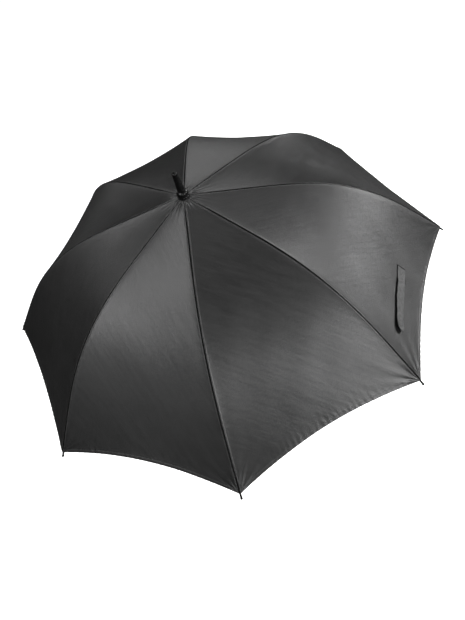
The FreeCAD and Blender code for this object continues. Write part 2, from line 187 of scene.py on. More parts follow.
def seam_puckers(panel, station, share):
    """Ripples that the seam's thread pulls into the cloth beside it."""
    away = seam_distance(station, share)
    side = np.where(share < 0.5, 0.0, 2.1)
    slow = 0.6 + 0.4 * np.sin(station * 43 + 2.3 * panel + side)
    ripple = np.sin(station * 2 * math.pi / SEAM_PUCKER_PITCH + 0.9 * np.sin(station * 31 + panel) + side)
    return SEAM_PUCKER_DEPTH * slow * ripple * np.exp(-away / 0.008) * np.clip(away / 0.002, 0, 1)


def corner_folds(panel, station, share):
    """Tension folds that fan out from each corner of the panel at the rim."""
    away = seam_distance(station, share)
    inward = np.maximum(CLOTH_END - station, 0)
    reach = np.hypot(away, inward)
    angle = np.arctan2(away, inward)
    side = np.where(share < 0.5, 0.0, 1.7)
    fade = np.exp(-reach / CORNER_FOLD_REACH) * np.clip(reach / 0.012, 0, 1) * np.clip(away / 0.006, 0, 1)
    return CORNER_FOLD_DEPTH * fade * (1 - bow(share)) * np.sin(angle * 13 + 1.3 * panel + side)


def hem_puckers(panel, station, share):
    """Short ripples along the stitched hem."""
    inward = np.maximum(rim_station(share) - station, 0)
    along = share * RIM_WIDTH
    ripple = np.sin(2 * math.pi * along / HEM_PUCKER_PITCH + 1.5 * np.sin(along * 37 + 2 * panel) + panel)
    slow = 0.45 + 0.55 * np.sin(along * 29 + 1.7 * panel) ** 2
    return HEM_PUCKER_DEPTH * slow * ripple * np.exp(-inward / 0.012) * np.clip(bow(share) * 6, 0, 1)


def slack(panel, station, share):
    """Broad soft waves left in cloth that isn't pulled quite tight."""
    across = (share - 0.5) * 2 * rib_point(station)[0] * math.sin(SECTOR / 2)
    wave = np.sin(21 * across + 17 * station + 1.1 * panel)
    wave = wave + 0.7 * np.sin(-34 * across + 26 * station + 2.7 * panel)
    wave = wave + 0.4 * np.sin(57 * across + 41 * station + 0.6 * panel)
    return SLACK_DEPTH * wave * bow(share) * np.clip(station / 0.15, 0, 1)


def seam_fold(station, share):
    """The seam's groove, and beside it the step of the folded allowance."""
    away = seam_distance(station, share)
    groove = -SEAM_GROOVE_DEPTH * np.exp(-(away / 0.0018) ** 2)
    flap = np.clip((0.0058 - away) / 0.0008, 0, 1) * np.clip((away - 0.0008) / 0.0008, 0, 1)
    flap = SEAM_FLAP_HEIGHT * flap
    return groove + np.where(share < 0.5, flap, 0.3 * flap)


def hem_step(station, share):
    """The doubled cloth of the hem, with its stitched line."""
    inward = rim_station(share) - station
    band = HEM_THICKNESS * np.clip((0.0100 - inward) / 0.0010, 0, 1)
    stitched = -HEM_STITCH_DEPTH * np.exp(-((inward - HEM_STITCH) / 0.0008) ** 2)
    return band + stitched


def cloth_base(panel, station, share, lift=0.0):
    """Smooth panel surface: straight across between two ribs, drawn in a little in its middle."""
    radius, height = rib_point(station, CLOTH_LIFT + lift)
    first, middle, last = (SECTOR * (panel + turn) for turn in (0, 0.5, 1))
    x = radius * ((1 - share) * math.cos(first) + share * math.cos(last))
    y = radius * ((1 - share) * math.sin(first) + share * math.sin(last))
    along = np.clip(station / CLOTH_END, 0, 1)
    sag = PANEL_SAG * bow(share) * np.sin(math.pi * along ** 1.3)
    slope = slope_at(station)
    x = x - sag * np.sin(slope) * math.cos(middle)
    y = y - sag * np.sin(slope) * math.sin(middle)
    return np.stack([x, y, height - sag * np.cos(slope)], axis=-1)


def outward_of(panel, station, share):
    """Outward direction of the smooth panel, from small steps along it and across it."""
    step = SMALL_STEP
    down = cloth_base(panel, station + step, share) - cloth_base(panel, station - step, share)
    across = cloth_base(panel, station, share + step) - cloth_base(panel, station, share - step)
    normal = np.cross(down, across)
    return normal / np.linalg.norm(normal, axis=-1, keepdims=True)


def cloth_point(panel, station, share, lift=0.0):
    """Point of the finished cloth, with its seams, hem and wrinkles."""
    relief = (
        hub_gathers(panel, station, share)
        + seam_puckers(panel, station, share)
        + corner_folds(panel, station, share)
        + hem_puckers(panel, station, share)
        + slack(panel, station, share)
        + seam_fold(station, share)
        + hem_step(station, share)
        + lift
    )
    return cloth_base(panel, station, share) + relief[..., None] * outward_of(panel, station, share)


def cloth_normal(panel, station, share):
    """Outward normal of the finished cloth, wrinkles included."""
    step = SMALL_STEP
    turn = step / np.maximum(rib_point(station)[0], 0.004)
    down = cloth_point(panel, station + step, share) - cloth_point(panel, station - step, share)
    across = cloth_point(panel, station, share + turn) - cloth_point(panel, station, share - turn)
    normal = np.cross(down, across)
    return normal / np.linalg.norm(normal, axis=-1, keepdims=True)


# ---------------------------------------------------------------- meshes

SEAM_OFFSETS = np.array([0, 0.6, 1.2, 2, 3.2, 5, 5.8, 6.6, 9, 13, 18]) / 1000
RIM_OFFSETS = np.array([0, 0.8, 2, 4, 6, 7.7, 8.5, 9.3, 10.2, 11.5, 14, 18, 23]) / 1000
HEM_TURN = ((-0.0004, -0.0006), (0.0004, -0.0012), (0.0050, -0.0013), (0.0100, -0.0013))
HINGE_LAP = np.array([[0.002], [0.005], [0.009]])
SEAM_VALLEY = 3             # columns on each side of a seam that are painted as its shadow
LAP_DROP = 0.0006           # of a lap below the cloth it lies under
MIDDLE_LAP = 0.036          # past the panel's middle line, as a share of its width


def new_mesh(name, points, faces, material, normals=None, uv=None):
    """Object made from points and faces, smooth shaded, with an optional normal and UV per point."""
    mesh = bpy.data.meshes.new(name)
    mesh.from_pydata(points.tolist(), [], faces.tolist() if hasattr(faces, "tolist") else faces)
    mesh.polygons.foreach_set("use_smooth", [True] * len(mesh.polygons))
    if uv is not None:
        corners = np.empty(len(mesh.loops), dtype=np.int32)
        mesh.loops.foreach_get("vertex_index", corners)
        for label, values in uv.items():
            mesh.uv_layers.new(name=label).data.foreach_set("uv", values[corners].ravel())
    if normals is not None:
        mesh.normals_split_custom_set_from_vertices(normals.tolist())
    mesh.materials.append(material)
    made = bpy.data.objects.new(name, mesh)
    bpy.context.scene.collection.objects.link(made)
    return made


def paint_faces(made, material, chosen):
    """Give the chosen faces of an object a second material."""
    made.data.materials.append(material)
    made.data.polygons.foreach_set("material_index", np.asarray(chosen, dtype=np.int32))


def grid_faces(rows, columns, closed=False, flipped=False):
    """Quads of a grid of points, joined round to its first column if closed."""
    row, column = np.meshgrid(np.arange(rows - 1), np.arange(columns - (not closed)), indexing="ij")
    ahead = (column + 1) % columns
    corners = [row * columns + column, (row + 1) * columns + column,
               (row + 1) * columns + ahead, row * columns + ahead]
    faces = np.stack([corner.ravel() for corner in corners], axis=1)
    return faces[:, ::-1] if flipped else faces


def half_width(station):
    """Half of the panel's width at a station."""
    return rib_point(station, CLOTH_LIFT)[0] * math.sin(SECTOR / 2)


def hinge_station(share):
    """Station where the cloth crosses the plane through the rib's flexing point, square to the rib."""
    share = np.minimum(share, 1 - share)
    radius, height = rib_point(FLEX_STATION)
    slope = slope_at(FLEX_STATION)
    station = np.full_like(share, FLEX_STATION)
    for _ in range(8):
        point = cloth_base(0, station, share)
        ahead = (point[..., 0] - radius) * np.cos(slope) - (point[..., 2] - height) * np.sin(slope)
        station = station - ahead
    return station


def even_rows(start, end, count):
    """Rows spaced evenly from one station to another."""
    return lambda share: (start + (end - start) * np.linspace(0, 1, count)[:, None] + 0 * share)


def rows_to_hinge(start, count):
    """Rows from a station to the flexing line, then a short lap beyond it."""
    def rows(share):
        end = hinge_station(share)
        even = start + (end[:count] - start) * np.linspace(0, 1, count)[:, None]
        return np.concatenate([even, end[count:] + HINGE_LAP])
    return rows


def rows_to_rim(count):
    """Rows from the flexing line to the rim, closer together over the hem."""
    def rows(share):
        start = hinge_station(share)[:count]
        rim = rim_station(share)
        even = start + (rim[:count] - RIM_OFFSETS[-1] - start) * np.linspace(0, 1, count)[:, None]
        fine = rim[count:count + len(RIM_OFFSETS) - 1] - RIM_OFFSETS[-2::-1, None]
        return np.concatenate([even, fine])
    return rows


def half_grid(rows, row_count, field_count):
    """Stations and shares over half a panel, with columns close together beside the seam."""
    spread = np.linspace(0, 1, field_count + 1)[1:]
    share = np.tile(np.linspace(0, 0.5, len(SEAM_OFFSETS) + field_count), (row_count, 1))
    for _ in range(6):
        half = half_width(rows(share))
        middle = half[:, -1:]
        seam = SEAM_OFFSETS * np.minimum(1, 0.5 * middle / SEAM_OFFSETS[-1])
        field = seam[:, -1:] + (middle - seam[:, -1:]) * spread
        share = np.concatenate([seam, field], axis=1) / (2 * half)
    return share


# Each ring of the canopy: name, row maker, rows of its own, lap rows, field columns, and the share of
# its width that is left when the umbrella is shut.
RINGS = (
    ("hub", even_rows(CLOTH_START, 0.060, 26), 26, 0, 16, 0.30),
    ("upper", even_rows(0.060, 0.200, 34), 34, 0, 26, 0.17),
    ("middle", rows_to_hinge(0.200, 42), 42, 3, 34, 0.13),
    ("outer", rows_to_rim(66), 66 + len(RIM_OFFSETS) - 1, 0, 60, 0.10),
)
RING_ENDS = {"hub": (CLOTH_START, 0.060), "upper": (0.060, 0.200),
             "middle": (0.200, FLEX_STATION), "outer": (FLEX_STATION, CLOTH_END)}
PLEAT_ANGLE = math.radians(5)
LAP_SHARES = np.array([0.503, 0.514, 0.5 + MIDDLE_LAP])


def fold_frame(azimuth, side, ring):
    """Axis along which half a panel narrows as the umbrella shuts, and the rib point it narrows to."""
    start, end = (np.array(rib_point(station, CLOTH_LIFT)) for station in RING_ENDS[ring])
    slope = math.atan2(start[1] - end[1], end[0] - start[0])
    tilt = math.atan(math.tan(SECTOR / 2) * math.sin(slope))
    lean = max(tilt - PLEAT_ANGLE, 0)
    outward = Vector((math.cos(azimuth), math.sin(azimuth), 0))
    sideways = Vector((-math.sin(azimuth), math.cos(azimuth), 0)) * side
    inward = -math.sin(slope) * outward - Vector((0, 0, math.cos(slope)))
    anchor = start[0] * outward + Vector((0, 0, start[1]))
    return math.cos(lean) * sideways + math.sin(lean) * inward, anchor


def panel_sheet(name, panel, side, ring, cloth, seam_shadow):
    """Half of one panel within one ring: side 1 starts at the panel's first rib, -1 at its second."""
    label, rows, own_rows, lap_rows, field_count, keep = ring
    row_count = own_rows + lap_rows
    share = half_grid(rows, row_count, field_count)
    laps = np.tile(LAP_SHARES, (row_count, 1))
    share = np.concatenate([share, laps], axis=1)
    station = rows(share)
    lift = np.zeros_like(share)
    lift[:, -len(LAP_SHARES):] -= LAP_DROP
    lift[own_rows:] -= LAP_DROP
    if label == "outer":
        turned_rows = len(HEM_TURN)
        offsets, drops = np.array(HEM_TURN).T
        share = np.concatenate([share, np.repeat(share[-1:], turned_rows, axis=0)])
        turned_station = rim_station(share[-turned_rows:]) - offsets[:, None]
        station = np.concatenate([station, turned_station])
        lift = np.concatenate([lift, np.tile(drops[:, None], (1, share.shape[1]))])
    across = share if side > 0 else 1 - share
    points = cloth_point(panel, station, across, lift)
    normals = cloth_normal(panel, station, across)
    normals[row_count:] = 0
    weave = np.stack([(across - 0.5) * 2 * half_width(station), station], axis=-1)
    edges = np.stack([share * 2 * half_width(station), rim_station(across) - station], axis=-1)
    faces = grid_faces(*share.shape, flipped=side < 0)
    uv = {"weave": weave.reshape(-1, 2), "edges": edges.reshape(-1, 2)}
    made = new_mesh(name, points.reshape(-1, 3), faces, cloth, normals.reshape(-1, 3), uv)
    # Painted seam shadow: the columns beside each seam get the near-black cloth in place of the shade that
    # falls there.
    paint_faces(made, seam_shadow, faces.min(axis=1) % share.shape[1] < SEAM_VALLEY)
    rib = (panel + (side < 0)) % RIBS
    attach(made, f"{'outer_rib' if label == 'outer' else 'rib'}_{rib + 1}")
    axis, anchor = fold_frame(rib * SECTOR, side, label)
    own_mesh(made)
    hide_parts(f"canopy_panel_{panel + 1}")
    width = float(half_width(station).max()) * (1 + 2 * MIDDLE_LAP)
    return made


# ---------------------------------------------------------------- shader helpers

class Shader:
    """A material under construction: its node tree, and short ways to add nodes to it."""

    def __init__(self, name):
        self.material = bpy.data.materials.new(name)
        self.material.use_nodes = True
        self.tree = self.material.node_tree
        self.surface = self.tree.nodes["Principled BSDF"]

    def add(self, kind, **settings):
        """New shader node with some of its settings."""
        node = self.tree.nodes.new("ShaderNode" + kind)
        for key, value in settings.items():
            setattr(node, key, value)
        return node

    def link(self, source, target):
        """Wire from one socket to another."""
        self.tree.links.new(source, target)

    def feed(self, socket, value):
        """Set a socket to a constant, or link another socket to it."""
        if isinstance(value, (int, float, tuple)):
            socket.default_value = value
        else:
            self.link(value, socket)

    def math(self, operation, *values):
        """Result of a sum on constants or sockets."""
        node = self.add("Math", operation=operation)
        for socket, value in zip(node.inputs, values):
            self.feed(socket, value)
        return node.outputs[0]

    def object_place(self, scale=(1, 1, 1)):
        """Coordinates in the row frame, in metres, stretched by a scale."""
        place = self.add("TexCoord")
        stretch = self.add("Mapping")
        stretch.inputs["Scale"].default_value = scale
        self.link(place.outputs["Object"], stretch.inputs["Vector"])
        return stretch.outputs["Vector"]

    def uv_place(self, layer, scale=(1, 1, 1), turn=0.0):
        """Coordinates from a UV layer that is laid out in metres, turned and then stretched."""
        place = self.add("UVMap", uv_map=layer)
        stretch = self.add("Mapping", vector_type="TEXTURE")
        stretch.inputs["Scale"].default_value = [1 / factor for factor in scale]
        stretch.inputs["Rotation"].default_value = (0, 0, turn)
        self.link(place.outputs["UV"], stretch.inputs["Vector"])
        return stretch.outputs["Vector"]

    def noise(self, vector, scale, detail=3.0, roughness=0.5):
        """Cloudy noise from 0 to 1."""
        node = self.add("TexNoise")
        self.link(vector, node.inputs["Vector"])
        node.inputs["Scale"].default_value = scale
        node.inputs["Detail"].default_value = detail
        node.inputs["Roughness"].default_value = roughness
        return node.outputs["Fac"]

    def ramp(self, value, low, high, low_out=0.0, high_out=1.0):
        """Straight ramp between two values, level outside them."""
        node = self.add("MapRange")
        self.feed(node.inputs["Value"], value)
        for label, number in (("From Min", low), ("From Max", high),
                              ("To Min", low_out), ("To Max", high_out)):
            node.inputs[label].default_value = number
        return node.outputs["Result"]

    def mixed(self, share, first, second):
        """Colour part of the way from the first to the second."""
        node = self.add("Mix", data_type="RGBA")
        self.feed(node.inputs["Factor"], share)
        self.feed(node.inputs["A"], first)
        self.feed(node.inputs["B"], second)
        return node.outputs["Result"]

    def relief(self, height, distance, below=None):
        """Bump of a height from 0 to 1 over a distance in metres, on top of another bump."""
        node = self.add("Bump")
        node.inputs["Distance"].default_value = distance
        self.link(height, node.inputs["Height"])
        if below is not None:
            self.link(below, node.inputs["Normal"])
        return node.outputs["Normal"]

    def grain_direction(self, layer):
        """Direction across the cloth, for its stretched highlights."""
        return self.add("Tangent", direction_type="UV_MAP", uv_map=layer).outputs["Tangent"]

    def set(self, **values):
        """Feed the surface's own sockets, by name with _ for a space."""
        for key, value in values.items():
            self.feed(self.surface.inputs[key.replace("_", " ")], value)


def grey(level):
    """Grey as a colour with alpha."""
    return (level, level, level, 1.0)


# ---------------------------------------------------------------- materials

def woven(shader, place, pitch):
    """Height of a plain weave, from 0 to 1."""
    cells = shader.add("VectorMath", operation="SCALE")
    shader.link(place, cells.inputs[0])
    cells.inputs["Scale"].default_value = math.pi / pitch
    parts = shader.add("SeparateXYZ")
    shader.link(cells.outputs[0], parts.inputs[0])
    warp = shader.math("SINE", parts.outputs["X"])
    weft = shader.math("SINE", parts.outputs["Y"])
    crossing = shader.math("MULTIPLY", warp, weft)
    return shader.math("MULTIPLY_ADD", crossing, 0.5, 0.5)


def stitch_line(shader, away, along, distance):
    """1 on the stitches of a line at a distance from an edge, 0 elsewhere."""
    offset = shader.math("ABSOLUTE", shader.math("SUBTRACT", away, distance))
    near = shader.ramp(offset, 0.0002, 0.0005, 1.0, 0.0)
    phase = shader.math("FRACT", shader.math("DIVIDE", along, STITCH_PITCH))
    middle = shader.math("ABSOLUTE", shader.math("SUBTRACT", phase, 0.5))
    return shader.math("MULTIPLY", near, shader.ramp(middle, 0.36, 0.44, 1.0, 0.0))


def pucker(shader, below, away, stretch, depth, reach):
    """Short uneven ripples that run out from an edge's stitching and die away within a reach."""
    ripples = shader.noise(shader.uv_place("edges", stretch), 110, 3, 0.55)
    strength = shader.ramp(away, 0.0, reach, 1.0, 0.0)
    fading = shader.math("MULTIPLY", strength, strength)
    return shader.relief(shader.math("MULTIPLY", ripples, fading), depth, below)


def canopy_cloth():
    """Black satin-faced polyester: fine weave, stretched highlights, top-stitched seams and hem."""
    shader = Shader("canopy polyester")
    weave = shader.uv_place("weave")
    edges = shader.add("SeparateXYZ")
    shader.link(shader.uv_place("edges"), edges.inputs[0])
    laid = shader.add("SeparateXYZ")
    shader.link(weave, laid.inputs[0])
    seam_stitches = stitch_line(shader, edges.outputs["X"], laid.outputs["Y"], SEAM_STITCH)
    hem_stitches = stitch_line(shader, edges.outputs["Y"], laid.outputs["X"], HEM_STITCH)
    stitches = shader.math("MAXIMUM", seam_stitches, hem_stitches)
    yarn = woven(shader, weave, YARN_PITCH)
    streaks = shader.noise(shader.uv_place("weave", (9, 1.3, 1), math.radians(-38)), 9, 4, 0.6)
    rubbed = shader.noise(weave, 5, 3)
    tone = shader.mixed(shader.ramp(streaks, 0.3, 0.7), grey(0.006), grey(0.009))
    tone = shader.mixed(stitches, tone, grey(0.030))
    roughness = shader.math("ADD", shader.ramp(streaks, 0.3, 0.7, 0.36, 0.41),
                            shader.ramp(rubbed, 0.3, 0.7, -0.015, 0.015))
    slow_waves = shader.noise(shader.uv_place("weave", (1, 0.35, 1)), 26, 2)
    relief = shader.relief(slow_waves, 0.0002)
    relief = shader.relief(streaks, 0.0004, relief)
    relief = pucker(shader, relief, edges.outputs["X"], (0.12, 1, 1), 0.0011, 0.018)
    relief = pucker(shader, relief, edges.outputs["Y"], (1, 0.12, 1), 0.0016, 0.022)
    relief = shader.relief(yarn, 0.00004, relief)
    relief = shader.relief(stitches, 0.0003, relief)
    shader.set(Base_Color=tone, Roughness=roughness, Normal=relief, IOR=1.5, Anisotropic=0.6,
               Anisotropic_Rotation=0.25, Tangent=shader.grain_direction("weave"))
    return shader.material


def shaded_cloth():
    """Near-black cloth painted in the seams and on the strap's edges, to stand for narrow shadows there."""
    shader = Shader("shaded polyester")
    weave = shader.uv_place("weave")
    tone = shader.mixed(shader.noise(weave, 60, 3), grey(0.0008), grey(0.0020))
    relief = shader.relief(woven(shader, weave, YARN_PITCH), 0.00005)
    shader.set(Base_Color=tone, Roughness=shader.ramp(shader.noise(weave, 25, 2), 0.3, 0.7, 0.75, 0.9),
               Normal=relief, Specular_IOR_Level=0.06)
    return shader.material


def seam_tape_cloth():
    """The same cloth, plain, where it is felled under each seam."""
    shader = Shader("seam tape")
    weave = shader.uv_place("weave")
    tone = shader.mixed(shader.noise(weave, 40, 3), grey(0.016), grey(0.026))
    relief = shader.relief(woven(shader, weave, YARN_PITCH), 0.00008)
    shader.set(Base_Color=tone, Roughness=0.6, Normal=relief, Sheen_Weight=0.15)
    return shader.material


def strap_webbing():
    """Tie strap: folded cloth with a slightly coarser, duller weave and fuzz along its edges."""
    shader = Shader("strap webbing")
    weave = shader.uv_place("weave")
    fuzz = shader.noise(weave, 900, 4, 0.7)
    patches = shader.noise(weave, 110, 3)
    tone = shader.mixed(shader.ramp(patches, 0.38, 0.62), grey(0.008), grey(0.034))
    relief = shader.relief(woven(shader, weave, 0.0009), 0.00025)
    relief = shader.relief(fuzz, 0.0002, relief)
    shader.set(Base_Color=tone, Roughness=0.55, Normal=relief, Specular_IOR_Level=0.5,
               Sheen_Weight=0.12, Sheen_Roughness=0.4)
    return shader.material


def moulded_plastic():
    """Matt black moulding with a fine grain, a soft mould flow and rubbed high spots."""
    shader = Shader("moulded plastic")
    place = shader.object_place()
    grain = shader.noise(place, 2600, 3, 0.6)
    flow = shader.noise(shader.object_place((1, 1, 0.3)), 60, 3)
    scuffs = shader.ramp(shader.noise(shader.object_place((3, 1, 1)), 240, 6, 0.7), 0.62, 0.72)
    tone = shader.mixed(scuffs, shader.mixed(flow, grey(0.0015), grey(0.0030)), grey(0.008))
    roughness = shader.math("ADD", shader.ramp(flow, 0.3, 0.7, 0.10, 0.15),
                            shader.math("MULTIPLY", scuffs, 0.2))
    shader.set(Base_Color=tone, Roughness=roughness, Normal=shader.relief(grain, 0.00004),
               Specular_IOR_Level=0.2)
    return shader.material


def handle_foam():
    """Closed-cell foam: soft, pitted and dull."""
    shader = Shader("grip foam")
    place = shader.object_place()
    pores = shader.add("TexVoronoi", feature="DISTANCE_TO_EDGE")
    shader.link(place, pores.inputs["Vector"])
    pores.inputs["Scale"].default_value = 900
    pits = shader.ramp(pores.outputs["Distance"], 0.0, 0.25)
    lumps = shader.noise(place, 120, 4)
    handled = shader.noise(shader.object_place((1, 1, 0.4)), 18, 3)
    tone = shader.mixed(shader.ramp(handled, 0.35, 0.65), grey(0.005), grey(0.009))
    tone = shader.mixed(shader.math("MULTIPLY", pits, 0.4), tone, grey(0.014))
    relief = shader.relief(pits, 0.00018)
    relief = shader.relief(lumps, 0.0004, relief)
    shader.set(Base_Color=tone, Roughness=0.82, Normal=relief, Sheen_Weight=0.25)
    return shader.material


def fibreglass():
    """Glossy black pultruded rod with lengthwise fibre streaks."""
    shader = Shader("fibreglass")
    fibres = shader.noise(shader.object_place((1, 1, 0.2)), 900, 5, 0.6)
    worn = shader.ramp(shader.noise(shader.object_place(), 70, 5, 0.6), 0.6, 0.75)
    tone = shader.mixed(fibres, grey(0.008), grey(0.022))
    tone = shader.mixed(worn, tone, grey(0.05))
    shader.set(Base_Color=tone, Roughness=shader.ramp(fibres, 0.3, 0.7, 0.2, 0.34),
               Normal=shader.relief(fibres, 0.00005), Coat_Weight=0.25)
    return shader.material


def painted_steel():
    """Black lacquer over steel, thin and scratched where things slide."""
    shader = Shader("painted steel")
    rings = shader.noise(shader.object_place((1, 1, 60)), 30, 4, 0.6)
    scratches = shader.ramp(shader.noise(shader.object_place((60, 60, 2)), 12, 5, 0.7), 0.64, 0.70)
    tone = shader.mixed(rings, grey(0.010), grey(0.018))
    tone = shader.mixed(shader.math("MULTIPLY", scratches, 0.6), tone, grey(0.16))
    shader.set(Base_Color=tone, Roughness=shader.ramp(rings, 0.3, 0.7, 0.24, 0.36),
               Metallic=0.4, Normal=shader.relief(rings, 0.00003), Coat_Weight=0.3)
    return shader.material


def plated_steel():
    """Bright plated spring steel with fine scratches and dull spots."""
    shader = Shader("plated steel")
    scratches = shader.noise(shader.object_place((200, 20, 20)), 20, 5, 0.7)
    spots = shader.ramp(shader.noise(shader.object_place(), 500, 4), 0.6, 0.7)
    tone = shader.mixed(spots, grey(0.62), grey(0.30))
    shader.set(Base_Color=tone, Metallic=1.0, Roughness=shader.ramp(scratches, 0.3, 0.7, 0.18, 0.36),
               Normal=shader.relief(scratches, 0.00002))
    return shader.material


def studio_white():
    """Pale matt floor that is lit a little from below, like a light table."""
    shader = Shader("studio floor")
    mottle = shader.noise(shader.object_place(), 3, 3)
    shader.set(Base_Color=shader.mixed(mottle, grey(0.86), grey(0.90)), Roughness=0.9,
               Emission_Color=grey(1.0), Emission_Strength=FLOOR_GLOW)
    return shader.material


# ---------------------------------------------------------------- seam tapes, strap, turned parts

TAPE_HALF_WIDTH = 0.0055
TAPE_DROP = 0.0016          # below the cloth's outer face
STRAP_SHADOW_ROWS = 3       # at the strap's sewn end, painted as shadow


def seam_tape(name, rib, start, end, body, material):
    """Narrow band of felled cloth under one seam, following the rib."""
    offsets = np.linspace(-TAPE_HALF_WIDTH, TAPE_HALF_WIDTH, 7)
    station = np.linspace(start, end, int((end - start) / 0.006))[:, None] + 0 * offsets
    share = np.abs(offsets) / np.maximum(2 * half_width(station), 0.012)
    after = cloth_base(rib, station, share, -TAPE_DROP)
    before = cloth_base(rib - 1, station, 1 - share, -TAPE_DROP)
    points = np.where((offsets >= 0)[None, :, None], after, before)
    points[..., 2] -= 0.0002 * np.sin(station * 400) * (np.abs(offsets) > 0.004)
    weave = np.stack([offsets + 0 * station, station], axis=-1).reshape(-1, 2)
    made = new_mesh(name, points.reshape(-1, 3), grid_faces(*station.shape), material,
                    uv={"weave": weave})
    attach(made, body)
    return made


def strap_frame(along):
    """Share and station of the strap's centre line, from its sewn end at 0 to its free end at 1."""
    (sewn_share, sewn_station), (free_share, free_station) = STRAP_SEWN_END, STRAP_FREE_END
    share = sewn_share + along * (free_share - sewn_share)
    station = sewn_station + along * (free_station - sewn_station)
    return share, station + 0.0012 * np.sin(along * 9)


def strap_lift(along, aside):
    """Height of the strap's underside above the cloth: quilted where it's sewn, then loose."""
    body = np.clip((along - 0.20) / 0.15, 0, 1)
    crest = 0.0016 * np.exp(-((along - 0.27) / 0.035) ** 2)
    rise = 0.0020 * body + 0.0056 * np.clip((along - 0.78) / 0.22, 0, 1) ** 1.6 + crest
    twist = -0.0013 * body * aside * (0.7 + 0.3 * np.sin(along * 11))
    ripple = 0.0008 * body * np.sin(along * 21 + 1.8 * aside) ** 2
    quilting = 0.0005 * (1 - body) * np.sin(along * 150) * np.cos(aside * 5)
    return 0.0008 + rise + twist + ripple + quilting


def strap_section():
    """Half-turn profile of the folded band: places from -1 to 1 across it, and heights."""
    across = np.array([-1, -0.99, -0.94, -0.80, -0.4, 0.0, 0.4, 0.80, 0.94, 0.99, 1.0])
    top = STRAP_THICKNESS * np.array([0.5, 0.85, 1.0, 0.92, 0.88, 0.86, 0.88, 0.92, 1.0, 0.85, 0.5])
    under_across = np.array([0.97, 0.5, 0.0, -0.5, -0.97])
    return np.concatenate([across, under_across]), np.concatenate([top, 0 * under_across])


def tie_strap(material, shaded, thread):
    """Folded band, box-stitched at one end and loose at the other."""
    aside, height = strap_section()
    along = np.concatenate([[0, 0.004, 0.012, 0.022], np.linspace(0.03, 0.97, 90), [0.985, 0.995, 1.0]])
    taper = np.interp(along, [0, 0.006, 0.90, 0.97, 1.0], [0.94, 1.0, 1.0, 0.78, 0.45])
    thin = np.interp(along, [0, 0.004, 0.985, 1.0], [0.5, 1.0, 1.0, 0.6])
    along, aside_grid = along[:, None] + 0 * aside, aside * taper[:, None]
    share, station = strap_frame(along)
    station = station + aside_grid * STRAP_WIDTH / 2
    lift = strap_lift(along, aside_grid) + height * thin[:, None]
    points = cloth_point(STRAP_PANEL, station, share, lift)
    weave = np.stack([aside_grid * STRAP_WIDTH / 2, along * STRAP_LENGTH], axis=-1).reshape(-1, 2)
    faces = grid_faces(*along.shape, closed=True, flipped=True).tolist()
    count = len(aside)
    faces.append(list(range(count)))
    faces.append(list(range(points.shape[0] * count - count, points.shape[0] * count))[::-1])
    band = new_mesh("tie_strap_band", points.reshape(-1, 3), faces, material, uv={"weave": weave})
    row, column = np.divmod(np.arange((len(along) - 1) * count), count)
    # Painted shadow: the rows at the sewn end, the faces along one long edge and both end caps get the
    # near-black cloth.
    shadowed = (row < STRAP_SHADOW_ROWS) | (column < 2) | (column == count - 1)
    paint_faces(band, shaded, np.append(shadowed, [True, True]))
    stitches = box_stitches(thread)
    for made in (band, stitches):
        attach(made, f"outer_rib_{STRAP_PANEL + 1}")
        axis, anchor = fold_frame(STRAP_PANEL * SECTOR, 1, "outer")
        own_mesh(made)
    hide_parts("tie_strap")
    return band


def box_stitches(thread):
    """Stitches round a square and along its diagonals at the strap's sewn end."""
    corners = [(0.012, -0.72), (0.16, -0.72), (0.16, 0.72), (0.012, 0.72)]
    lines = list(zip(corners, corners[1:] + corners[:1]))
    lines += [(corners[0], corners[2]), (corners[1], corners[3])]
    points, faces = [], []
    for start, end in lines:
        first, last = strap_surface(*start), strap_surface(*end)
        count = max(int((last - first).length / STITCH_PITCH), 2)
        for index in range(count):
            places = [(index + share) / count for share in (0.08, 0.50, 0.92)]
            spots = [strap_surface(*(a + (b - a) * place for a, b in zip(start, end)))
                     for place in places]
            add_stitch(points, faces, spots)
    return new_mesh("tie_strap_stitches", np.array(points), faces, thread)


def strap_surface(along, aside):
    """Point on top of the strap."""
    place, turn = np.array([along]), np.array([aside])
    share, station = strap_frame(place)
    lift = strap_lift(place, turn) + 0.9 * STRAP_THICKNESS
    return Vector(cloth_point(STRAP_PANEL, station + turn * STRAP_WIDTH / 2, share, lift)[0])


def add_stitch(points, faces, spots):
    """One raised stitch through three points: six-sided, pointed at both ends."""
    ahead = (spots[2] - spots[0]).normalized()
    out = Vector((0, -0.6, 0.8))
    aside = ahead.cross(out).normalized()
    start = len(points)
    for spot, girth in zip(spots, (0.00012, 0.00035, 0.00012)):
        for turn in range(6):
            angle = turn * math.pi / 3
            points.append(spot + girth * (math.cos(angle) * aside + math.sin(angle) * out))
    for ring in range(2):
        for turn in range(6):
            after = (turn + 1) % 6
            low = start + ring * 6
            faces.append([low + turn, low + after, low + 6 + after, low + 6 + turn])


def eased(outline, radius, steps=5):
    """Outline with each of its inner corners rounded by a small arc."""
    made = [outline[0]]
    for before, corner, after in zip(outline, outline[1:], outline[2:]):
        corner, before, after = Vector(corner), Vector(before), Vector(after)
        back = min(radius, (before - corner).length * 0.45)
        forth = min(radius, (after - corner).length * 0.45)
        start = corner + (before - corner).normalized() * back
        end = corner + (after - corner).normalized() * forth
        for step in range(steps + 1):
            share = step / steps
            point = start.lerp(corner, share).lerp(corner.lerp(end, share), share)
            made.append((point.x, point.y))
    return made + [outline[-1]]


def turned_part(name, outline, material, node, ease=0.0008, segments=72):
    """Solid of revolution about the shaft's axis, from (radius, height) pairs listed upwards."""
    profile = np.array(eased(outline, ease))
    angle = np.linspace(0, 2 * math.pi, segments, endpoint=False)
    radius, height = profile[:, :1], profile[:, 1:]
    points = np.stack([radius * np.cos(angle), radius * np.sin(angle),
                       height + 0 * angle], axis=-1)
    made = new_mesh(name, points.reshape(-1, 3),
                    grid_faces(*points.shape[:2], closed=True, flipped=True), material)
    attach(made, "shaft")
    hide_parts(node)
    return made


